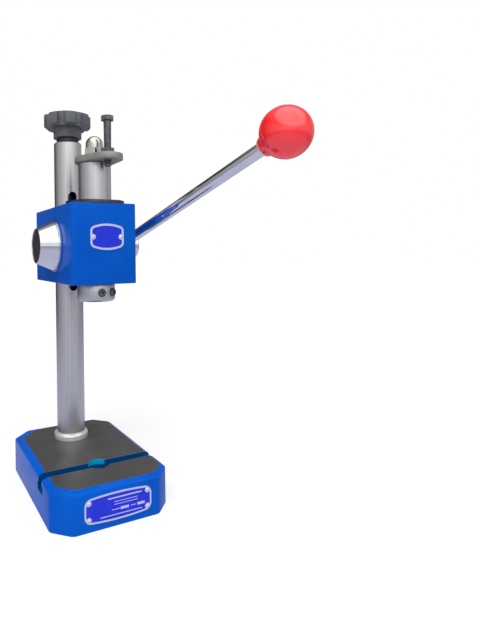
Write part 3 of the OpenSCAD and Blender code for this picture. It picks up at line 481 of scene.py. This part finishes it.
def black_oxide(name, light, dark, smooth, rough):
    # Hot black oxide on machined steel: a dry, dark grey sheen, rubbed a little lighter in patches
    material, tree, shader, place = start(name, Metallic=0.75)
    worn = grain(tree, place, 3, 4)
    sheen = put(tree, "MapRange", worn, *SPREAD, smooth, rough)
    bump = put(tree, "Bump", {"Height": worn, "Distance": 0.01 * MM, "Strength": 0.3})
    fill(tree, shader, {"Base Color": mottle(tree, worn, dark, light), "Roughness": sheen, "Normal": bump})
    return material


def turned_steel(name, light, dark, axis, centre, pitch, smooth, rough):
    # Machined on a lathe: rings of tool marks round the turning axis. The real feed is 0.1 mm a turn, and
    # the rings are drawn coarser so that they show.
    material, tree, shader, place = start(name, Metallic=1.0)
    moved = put(tree, "Mapping", {"Vector": place, "Location": [-c * MM for c in centre]})
    flat = put(tree, "VectorMath", moved, [0 if a == axis else 1 for a in "XYZ"], operation="MULTIPLY")
    distance = put(tree, "VectorMath", flat, operation="LENGTH")
    turns = put(tree, "Math", distance, 2 * math.pi / (pitch * MM), operation="MULTIPLY")
    rings = put(tree, "Math", turns, operation="SINE")
    wear = grain(tree, place, 6, 3)
    satin = put(tree, "MapRange", wear, *SPREAD, smooth, rough)
    bump = put(tree, "Bump", {"Height": rings, "Distance": 0.006 * MM, "Strength": 0.5})
    fill(tree, shader, {"Base Color": mottle(tree, wear, light, dark), "Roughness": satin, "Normal": bump})
    return material


def milled_steel():
    # The stop plate: sawn and milled flat steel, dull, with straight cutter marks
    material, tree, shader, place = start("milled_flat_steel", Metallic=0.6)
    marks = grain(tree, place, 0.8, 3, (1, 40, 1))
    shade = mottle(tree, grain(tree, place, 7, 3), "A09E96", "8C8A83")
    bright = put(tree, "MapRange", marks, *SPREAD, 0, 0.4)
    shade = put(tree, "Mix", bright, shade, ink("ABA9A2"), data_type="RGBA")
    satin = put(tree, "MapRange", marks, *SPREAD, 0.42, 0.55)
    bump = put(tree, "Bump", {"Height": marks, "Distance": 0.01 * MM, "Strength": 0.4})
    fill(tree, shader, {"Base Color": shade, "Roughness": satin, "Normal": bump})
    return material


def moulded_phenolic():
    # Dark grey compression-moulded phenolic: even and dense, with a low satin gloss and a fine mould texture
    material, tree, shader, place = start("moulded_dark_phenolic", IOR=1.5)
    fine = grain(tree, place, 0.7, 2)
    shade = mottle(tree, grain(tree, place, 9, 3), "5C5E62", "54565A")
    satin = put(tree, "MapRange", fine, *SPREAD, 0.36, 0.46)
    bump = put(tree, "Bump", {"Height": fine, "Distance": 0.012 * MM, "Strength": 0.4})
    fill(tree, shader, {"Base Color": shade, "Roughness": satin, "Normal": bump})
    return material


def polished_ball():
    # Glossy red phenolic, tumbled to a deep polish, with slow waves in its surface
    material, tree, shader, place = start("polished_red_phenolic", IOR=1.6, Specular_IOR_Level=1.0)
    shade = mottle(tree, grain(tree, place, 16, 2), "FF1C24", "FA1822")
    gloss = put(tree, "MapRange", grain(tree, place, 5, 2), *SPREAD, 0.10, 0.16)
    bump = put(tree, "Bump", {"Height": grain(tree, place, 8, 1), "Distance": 0.02 * MM, "Strength": 0.3})
    fill(tree, shader, {"Base Color": shade, "Roughness": gloss, "Normal": bump})
    return material


def turned_bronze():
    # Oiled bearing bronze, darkened in patches
    material, tree, shader, place = start("oiled_turned_bronze", Metallic=1.0)
    patch = grain(tree, place, 5, 3)
    satin = put(tree, "MapRange", patch, *SPREAD, 0.28, 0.4)
    fill(tree, shader, {"Base Color": mottle(tree, patch, "B58D4E", "9A7540"), "Roughness": satin})
    return material


def bare_sheet():
    # The plates' raised border: bare anodised aluminium with a cool, pale sheen and a fine brushed grain
    material, tree, shader, place = start("anodised_aluminium_border", Metallic=0.35)
    brushed = grain(tree, place, 0.4, 2, (30, 1, 1))
    satin = put(tree, "MapRange", brushed, *SPREAD, 0.32, 0.44)
    fill(tree, shader, {"Base Color": mottle(tree, brushed, "C9CCEA", "BBBFE2"), "Roughness": satin})
    return material


def printed_field():
    # Screen-printed royal blue in the plates' etched field, slightly uneven in tone
    material, tree, shader, place = start("printed_plate_field", IOR=1.45)
    shade = mottle(tree, grain(tree, place, 4, 3), "0F2AD2", "0C22C0")
    satin = put(tree, "MapRange", grain(tree, place, 1.5, 2), *SPREAD, 0.3, 0.4)
    fill(tree, shader, {"Base Color": shade, "Roughness": satin})
    return material


enamel = enamel_coat("sprayed_gloss_enamel")[0]
enamel_and_table = ground_table()
column_steel = ground_steel("ground_column_steel", "D6D6D6", "C6C6C6", 0.28, 0.4, bore_r=column_r)
ram_steel = ground_steel("ground_ram_steel", "D4D4D6", "C4C4C6", 0.3, 0.42)
bead_steel = ground_steel("polished_ring_steel", "E2E2E2", "D4D4D4", 0.3, 0.38, metal=0.6)
plain_steel = ground_steel("machined_steel", "9A9A9A", "868686", 0.3, 0.42)
chrome = mirror_chrome()
nickel = nickel_plate()
black_steel = black_oxide("black_oxide_steel", "4A4A4D", "37373A", 0.34, 0.48)
worn_black_steel = black_oxide("rubbed_black_oxide_steel", "78787B", "5C5C60", 0.36, 0.48)
flange_steel = turned_steel("turned_dark_flange_steel", "56585A", "47494B", axis="Z", centre=(0, ram_y, 0),
                            pitch=0.8, smooth=0.34, rough=0.46)
cap_steel = turned_steel("turned_dark_cap_steel", "8C878C", "77737A", axis="X",
                         centre=(0, pinion_y, pinion_z), pitch=0.9, smooth=0.3, rough=0.42)
plate_steel = milled_steel()
knob_plastic = moulded_phenolic()
ball_plastic = polished_ball()
bronze = turned_bronze()
sheet_border = bare_sheet()
sheet_field = printed_field()

# Base casting: upright corners, the sloped rim's lower edge, and the edges of the ground table
base = from_cad("base", "base_casting")
round_edges(base, 2.4, 3, lambda edge: runs_along(edge, Z_AXIS, 20)
            and near_outline(edge, base_w, base_d, base_corner + 1)
            and abs(middle(edge).y - ram_y) > slot_head / 2 + 5, degrees=20)
round_edges(base, 1.2, 3, lambda edge: near_outline(edge, base_w, base_d, base_corner + 1)
            and abs(middle(edge).z - base_rim_z) < 1, degrees=15)
round_edges(base, 0.3, 2, lambda edge: middle(edge).z > base_h - 0.1, degrees=12)
finish(base, enamel_and_table)

# Head casting: the outer edges of its foot and top
head = from_cad("head", "head_casting")
round_edges(head, 0.9, 3, lambda edge: near_outline(edge, head_w, head_d, 3.5)
            and not head_z + 0.2 <= middle(edge).z <= head_top - 0.2)
finish(head, enamel)

# Column with its slot, foot ring, and the ram's guide flange
column = from_cad("column", "ground_column")
round_edges(column, 0.35, 2, lambda edge: runs_along(edge, Z_AXIS, 3))
finish(column, column_steel)
finish(from_cad("column_foot_ring", "foot_bead"), bead_steel)
flange = from_cad("ram_guide_bush", "guide_flange")
round_edges(flange, 0.6, 3, lambda edge: middle(edge).z > flange_top - 0.9
            and off_axis(edge, 0, ram_y) > flange_r - 5.5)
finish(flange, flange_steel)

# Ram, whose nose stands below the head
ram = from_cad("ram", "toothed_ram")
round_edges(ram, 0.25, 1, lambda edge: middle(edge).z < head_z)
finish(ram, ram_steel)

# Stop plate, nuts and stop bolt
plate = from_cad("stop_plate", "stop_plate_milled")
round_edges(plate, 0.6, 2)
finish(plate, plate_steel)
nut = from_cad("acorn_nut", "domed_nut")
round_edges(nut, 0.45, 3, lambda edge: runs_along(edge, Z_AXIS))
finish(nut, nickel)
locknut = from_cad("stop_bolt_locknut", "stop_locknut")
round_edges(locknut, 0.35, 3, lambda edge: runs_along(edge, Z_AXIS, 0.8)
            and off_axis(edge, stop_x, stop_y) > bolt_r + 1.2)
finish(locknut, worn_black_steel)
bolt = from_cad("stop_bolt", "stop_bolt_threaded")
round_edges(bolt, 0.35, 3, lambda edge: runs_along(edge, Z_AXIS, 0.8) and middle(edge).z > bolt_head_z)
add_thread(bolt, stop_x, stop_y, bolt_foot_z, bolt_head_z, bolt_r, bolt_pitch)
finish(bolt, worn_black_steel)

# Star knob: a hair's breadth off the lobes' edges, and a rounded foot on its neck
knob = from_cad("height_knob", "star_knob")
round_edges(knob, 1.5, 4, lambda edge: middle(edge).z > lobe_z - 1
            and off_axis(edge, 0, column_y) > neck_r + 1.7, degrees=20)
round_edges(knob, 0.8, 2, lambda edge: abs(middle(edge).z - neck_z) < 0.7
            and off_axis(edge, 0, column_y) > neck_r - 2.3)
finish(knob, knob_plastic, degrees=40)

# Height screw in the column
screw = from_cad("lead_screw", "height_lead_screw")
add_thread(screw, 0, column_y, thread_foot_z, thread_top_z, screw_r, screw_pitch)
finish(screw, black_steel)

# Spring cover: rim, cone, open end, the cap's seat, and back along the drum
profile = arc(rim_edge_r, -90, 0, 3, (rim_r - rim_edge_r, rim_edge_r))
profile += arc(rim_edge_r, 0, 90, 3, (rim_r - rim_edge_r, rim_t - rim_edge_r))
profile.append((rim_r - cone_step, rim_t))
profile += arc(end_edge_r, cone_faces, 90, 5, (end_r - end_edge_r, cover_out - end_edge_r))
profile += arc(lip_r, 90, 180, 3, (cap_r + lip_r, cover_out - lip_r))
profile += [(cap_r, cap_seat), (cap_r - ledge, cap_seat), (cap_r - ledge, cap_seat - ledge_t)]
profile += [(drum_r, rim_t), (drum_r, -spigot), (drum_r + cover_wall, -spigot), (drum_r + cover_wall, 0)]
profile.append(profile[0])
cover = turned("conical_spring_cover", profile, 128, on_cover(), hollow=True)
finish(stand_for(cover, "spring_cover"), chrome, degrees=24)
finish(from_cad("spring_cover_cap", "cover_cap"), cap_steel)

# Lever hub and rod
finish(from_cad("lever_hub", "lever_hub_chromed"), chrome)
profile = arc(rod_edge_r, -90, 0, 3, (rod_r - rod_edge_r, rod_seat + rod_edge_r))
profile += arc(rod_edge_r, 0, 90, 3, (rod_r - rod_edge_r, rod_end - rod_edge_r))
rod = turned("lever_rod_chromed", profile, 64, on_lever())
finish(stand_for(rod, "lever_rod"), chrome)

# Washer under the ball's collar, whose top is where it meets the ball and whose length takes in the washer
collar_top = lever_l - math.sqrt(ball_r ** 2 - collar_r ** 2)
collar_foot = collar_top - collar_l + washer_t
washer_r = collar_r - washer_inset
profile = arc(washer_edge_r, -90, 0, 2, (washer_r - washer_edge_r, collar_foot - washer_t + washer_edge_r))
profile += arc(washer_edge_r, 0, 90, 2, (washer_r - washer_edge_r, collar_foot - washer_edge_r))
profile += [(rod_r + washer_gap, collar_foot), (rod_r + washer_gap, collar_foot - washer_t), profile[0]]
washer = turned("ball_washer", profile, 64, on_lever(), hollow=True)
finish(stand_for(washer, "ball_insert"), bead_steel)

# Ball with its collar and, where the mould's halves met, a faint line that stands proud
centre = (0.0, lever_l)
from_collar = math.degrees(math.asin((collar_top - lever_l) / ball_r)) + 2.5
line_at, line_half, line_foot, line_proud, almost_top = -24.0, 0.3, 0.5, 1.004, 88.5
profile = [(rod_r + bore_gap, collar_foot), (collar_r - collar_edge_r, collar_foot)]
profile += arc(collar_edge_r, -90, 0, 3, (collar_r - collar_edge_r, collar_foot + collar_edge_r))
profile += [(collar_r, collar_top - 0.5), (collar_r + 0.25, collar_top - 0.05)]
profile += arc(ball_r, from_collar, line_at - line_foot, 14, centre)
profile += [(r * line_proud, z) for r, z in arc(ball_r, line_at - line_half, line_at + line_half, 2, centre)]
profile += arc(ball_r, line_at + line_foot, almost_top, 44, centre)
ball = turned("polished_ball", profile, 96, on_lever())
finish(stand_for(ball, "ball_knob"), ball_plastic)


def raise_piece(ob, front_y):
    """Finishes a pad, box or rule of a plate: bare sheet, with its front edges broken."""
    select_only(ob)
    ob.data.materials.append(sheet_border)
    bpy.ops.object.transform_apply(location=True, rotation=True, scale=True)
    round_edges(ob, 0.04, 1, lambda edge: middle(edge).y < front_y + 0.05)


def etched_plate(node, name, face_y, border, rivets, marks):
    """A plate whose front face is inset to leave a raised border. Pads round the rivets stand level with it,
    and so do marks, which are blank boxes and rules as (x, z, width, height)."""
    ob = from_cad(node, name)
    for material in (sheet_border, sheet_field):
        ob.data.materials.append(material)

    # The front and back faces are made anew without the rivets' holes
    def goes(face):
        at = face.calc_center_median() / MM
        by_rivet = any(math.hypot(at.x - x, at.z - z) < rivet_reach for x, z in rivets)
        return by_rivet or abs(face.normal.y) > 0.9

    edit(ob, "FACE", goes)
    bpy.ops.mesh.delete(type="FACE")
    close_edit()
    for is_front in (False, True):
        edit(ob, "EDGE", lambda edge: edge.is_boundary and (middle(edge).y < face_y - 0.1) == is_front)
        bpy.ops.mesh.edge_face_add()
        close_edit()
    edit(ob, "FACE", lambda face: True)
    bpy.ops.mesh.normals_make_consistent(inside=False)
    close_edit()

    front_y = min(vert.co.y for vert in ob.data.vertices) / MM
    edit(ob, "FACE", lambda face: face.normal.y < -0.9)
    bpy.ops.mesh.inset(thickness=border * MM, depth=0)
    bpy.ops.mesh.inset(thickness=etch_slope * MM, depth=-etch_depth * MM)
    ob.active_material_index = 1
    bpy.ops.object.material_slot_assign()
    close_edit()

    raised = []
    pad_y = front_y + etch_depth / 2 + 0.01
    for x, z in rivets:
        bpy.ops.object.select_all(action="DESELECT")
        bpy.ops.mesh.primitive_cylinder_add(vertices=40, radius=pad_r * MM, depth=etch_depth * MM,
                                            location=Vector((x, pad_y, z)) * MM,
                                            rotation=(math.pi / 2, 0, 0))
        raised.append(bpy.context.object)
    for x, z, width, height in marks:
        bpy.ops.object.select_all(action="DESELECT")
        bpy.ops.mesh.primitive_cube_add(size=MM, location=Vector((x, pad_y, z)) * MM,
                                        scale=(width, etch_depth, height))
        raised.append(bpy.context.object)
    for piece in raised:
        raise_piece(piece, front_y)
    select_only(ob)
    for piece in raised:
        piece.select_set(True)
    bpy.ops.object.join()
    finish(ob)


# Name plate with blank boxes and rules, and the bare badge
both_sides = (-1, 1)
nameplate_rivets = [(nameplate_x + nameplate_rivet_x * i, nameplate_z + nameplate_rivet_z * k)
                    for i in both_sides for k in both_sides]
nameplate_marks = [(7, 26.3, 34, 1.2), (8, 22.6, 24, 0.5), (8, 20.1, 24, 0.5),
                   (-2.2, 15.6, 8, 0.6), (6.6, 15.6, 8.4, 2.4), (15.4, 15.6, 5.4, 0.6),
                   (23.4, 15.6, 7.6, 2.4), (3.4, 10.9, 42, 0.8)]
etched_plate("base_nameplate", "nameplate_etched", -base_d / 2, nameplate_border, nameplate_rivets,
             nameplate_marks)
badge_rivets = [(badge_x + badge_rivet_x * i, badge_z) for i in both_sides]
etched_plate("head_badge", "badge_etched", -head_d / 2, badge_border, badge_rivets, [])
finish(from_cad("base_nameplate_rivets", "nameplate_rivets"), bead_steel)
finish(from_cad("head_badge_rivets", "badge_rivets"), bead_steel)

# Clamp screws in the nose, lock screws in the head, the flange's screws and the knob's thrust collar
for node, name in (("shank_clamp_screw_front", "front_clamp_screw"),
                   ("shank_clamp_screw_side", "side_clamp_screw")):
    clamp_screw = from_cad(node, name)
    round_edges(clamp_screw, 0.2)
    finish(clamp_screw, worn_black_steel)
for node, name in (("lock_screw_upper", "upper_lock_screw"), ("lock_screw_lower", "lower_lock_screw")):
    lock_screw = from_cad(node, name)
    round_edges(lock_screw, 0.35, 3, lambda edge: runs_along(edge, X_AXIS))
    finish(lock_screw, black_steel)
for node, name in (("guide_flange_screws", "flange_screws"), ("knob_thrust_collar", "thrust_collar")):
    small_piece = from_cad(node, name)
    round_edges(small_piece, 0.2)
    finish(small_piece, black_steel)

# The pieces that stay as the CAD has them get their finish by slot
by_slot = {"enamel": enamel, "ground_steel": column_steel, "plain_steel": plain_steel,
           "black_steel": black_steel, "bronze": bronze, "chrome": chrome, "knob_plastic": knob_plastic,
           "ball_plastic": ball_plastic, "plate_sheet": sheet_border}
for node, ob in frame["nodes"].items():
    for slot in ob.material_slots:
        slot.material = by_slot[slot_of[node]]

# What metal and gloss see level with them, by compass: azimuth in degrees from +X, and brightness
level_ring = ((-180, 0.55), (-161, 0.70), (-133, 0.88), (-106, 0.85), (-78, 0.64),
              (-49, 0.68), (-33, 0.55), (-14, 0.38), (10, 0.48), (60, 0.3),
              (95, 0.08), (125, 0.06), (145, 0.3), (163, 0.45), (180, 0.55))


def by_compass(tree, toward):
    """The brightness that level_ring has for the azimuth of toward."""
    ring = put(tree, "ValToRGB", put(tree, "TexGradient", toward, gradient_type="RADIAL").outputs["Fac"])
    stops = ring.color_ramp.elements
    for i, (azimuth, level_there) in enumerate(level_ring):
        along = azimuth / 360 + 0.5
        if 0 < i < len(level_ring) - 1:
            stop = stops.new(along)
        else:
            stop = stops[0 if i == 0 else -1]
        stop.position = along
        stop.color = (level_there, level_there, level_there, 1)
    return put(tree, "RGBToBW", ring)


def seen_straight(tree, rays):
    """1 for what the camera sees, straight or through something clear."""
    return put(tree, "Math", rays["Is Camera Ray"], rays["Is Transmission Ray"], operation="MAXIMUM")


def pale_floor():
    """Adds the floor: paper white to the camera, with the press's shadow on it. Metal and gloss see a lilac
    floor that is bright by the press and takes on the surroundings' level far off."""
    bpy.ops.object.select_all(action="DESELECT")
    bpy.ops.mesh.primitive_plane_add(size=16, location=(0, 0, 0))
    floor = bpy.context.object
    floor.name = "floor"
    material = bpy.data.materials.new("pale_floor")
    material.use_nodes = True
    tree = material.node_tree
    tree.nodes.clear()
    rays = put(tree, "LightPath").outputs
    tone = put(tree, "Mix", rays["Is Diffuse Ray"], ink("F4F4F6"), ink("C8C8CC"), data_type="RGBA")
    paper = put(tree, "BsdfDiffuse", {"Color": tone})
    white = put(tree, "Emission", (1, 1, 1, 1), 1.0)
    on_floor = put(tree, "TexCoord").outputs["Object"]
    away = put(tree, "VectorMath", on_floor, operation="LENGTH")
    far_level = put(tree, "Math", by_compass(tree, on_floor), 0.75, 0.03, operation="MULTIPLY_ADD")
    near_share = put(tree, "MapRange", away, 0.45, 1.6, 1, 0)
    lilac = put(tree, "Emission", ink("C8C9DE"), put(tree, "Mix", near_share, far_level, 0.95))
    # Of what the camera sees, six tenths are plain white and the rest is paper, which shows the shadow
    white_share = put(tree, "Math", seen_straight(tree, rays), 0.6, operation="MULTIPLY")
    plain = put(tree, "MixShader", white_share, paper, white)
    put(tree, "OutputMaterial", {"Surface": put(tree, "MixShader", rays["Is Glossy Ray"], plain, lilac)})
    material.cycles.emission_sampling = "NONE"
    floor.data.materials.append(material)


def pale_studio():
    """Makes the world: white to the camera, an even fill for the light, and for metal and gloss surroundings
    that follow level_ring, get plainer with height, and have one softbox in front overhead."""
    box_azimuth, box_height, box_half, box_edge = map(math.radians, (-95, 62, 50, 4))
    world = bpy.data.worlds.new("pale_studio")
    bpy.context.scene.world = world
    world.use_nodes = True
    # Lit by the rays alone, so that gloss gets no share of the even fill
    world.cycles.sampling_method = "NONE"
    tree = world.node_tree
    tree.nodes.clear()
    rays = put(tree, "LightPath").outputs
    aim = put(tree, "TexCoord").outputs["Generated"]
    rise = put(tree, "SeparateXYZ", aim).outputs["Z"]
    ring_share = put(tree, "MapRange", rise, 0.3, 0.9, 1, 0.2)
    overhead = put(tree, "MapRange", rise, 0.6, 0.95, 0, 0.5)
    glow = put(tree, "Math", by_compass(tree, aim), ring_share, overhead, operation="MULTIPLY_ADD")
    to_box = (math.cos(box_azimuth) * math.cos(box_height), math.sin(box_azimuth) * math.cos(box_height),
              math.sin(box_height))
    nearness = put(tree, "VectorMath", aim, to_box, operation="DOT_PRODUCT")
    box_rim, box_core = math.cos(box_half + box_edge), math.cos(box_half - box_edge)
    softbox = put(tree, "MapRange", nearness, box_rim, box_core, 0, 1)
    glow = put(tree, "Math", glow, softbox, operation="ADD")
    surroundings = put(tree, "Background", (1, 1, 1, 1), glow)
    even_fill = put(tree, "Background", (1, 1, 1, 1), 0.62)
    white = put(tree, "Background", (1, 1, 1, 1), 1.0)
    unseen = put(tree, "MixShader", rays["Is Glossy Ray"], even_fill, surroundings)
    put(tree, "OutputWorld", {"Surface": put(tree, "MixShader", seen_straight(tree, rays), unseen, white)})


def soft_key():
    """One broad, soft sun from the upper left front lights everything alike. Gloss sees the softbox."""
    bpy.ops.object.light_add(type="SUN", location=(-0.4, -0.6, 1.0))
    sun = bpy.context.object
    sun.name = "soft_key"
    sun.rotation_euler = Vector((0.30, 0.50, -0.81)).to_track_quat("-Z", "Y").to_euler()
    sun.data.angle = math.radians(40)
    sun.data.energy = 2.6
    sun.visible_glossy = False


pale_floor()
pale_studio()
soft_key()
bpy.context.scene.view_settings.view_transform = "Standard"
